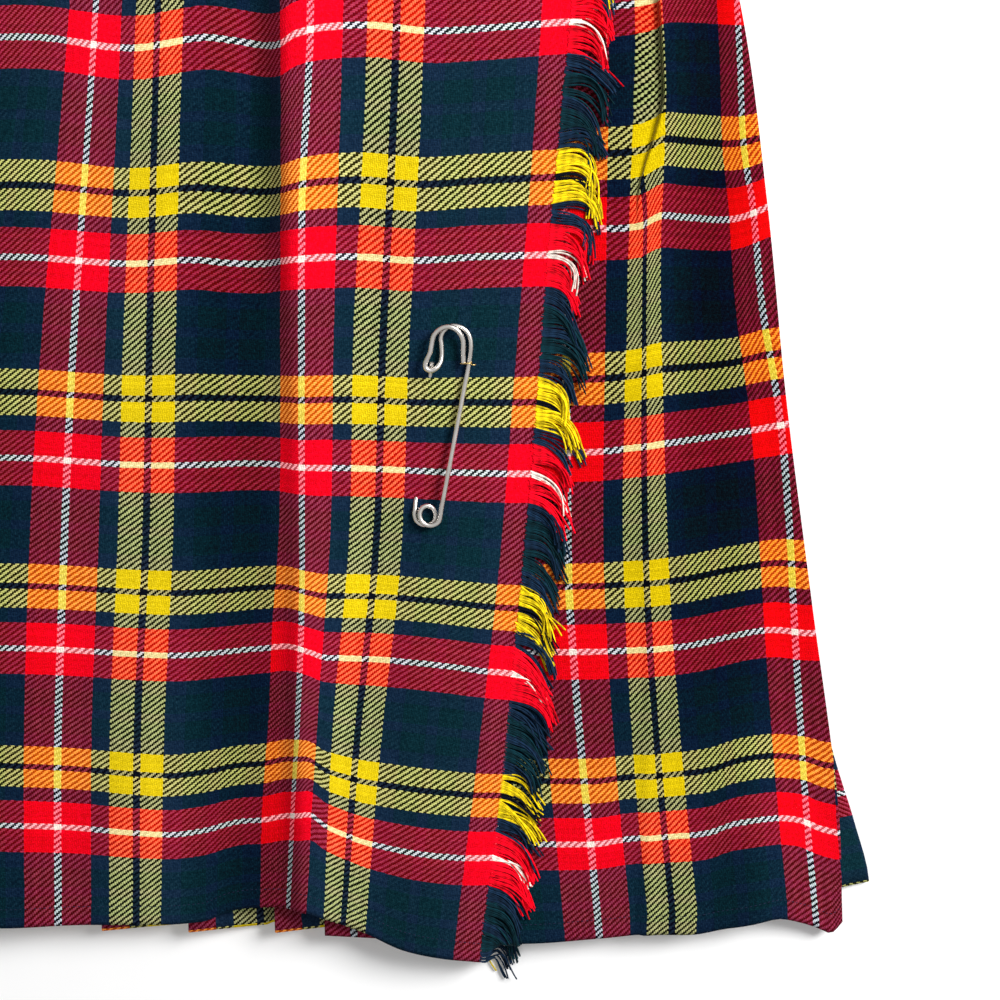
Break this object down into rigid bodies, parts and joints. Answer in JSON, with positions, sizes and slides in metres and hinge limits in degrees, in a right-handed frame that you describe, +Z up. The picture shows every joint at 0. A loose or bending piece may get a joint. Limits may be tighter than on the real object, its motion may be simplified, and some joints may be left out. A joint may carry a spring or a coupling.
{
  "type": "tartan kilt skirt, laid flat",
  "caption": "Wrap-over tartan kilt skirt laid flat: fringed over apron closed with a kilt pin, under apron, knife-pleated back and waistband.",
  "frame": {"origin": "on the centre line of the flat underside of the pleats, near mid length, on the surface the skirt lies on", "axes": "+X to the viewer's right, +Y towards the waistband, +Z up out of the front of the skirt"},
  "size_m": [0.6179, 0.6387, 0.0245],
  "materials": {
    "tartan": "woven wool twill in a yellow, red, green, navy, black and white tartan",
    "fringe": "loose weft yarns of the same tartan",
    "button": "satin",
    "nickel": "bright nickel-plated wire with light wear"
  },
  "bodies": {
    "root": {"over_apron": "tartan", "under_apron": "tartan", "pleated_back": "tartan", "waistband": "tartan", "waist_button": "button", "fringe": "fringe", "kilt_pin": "nickel"}
  },
  "joints": []
}
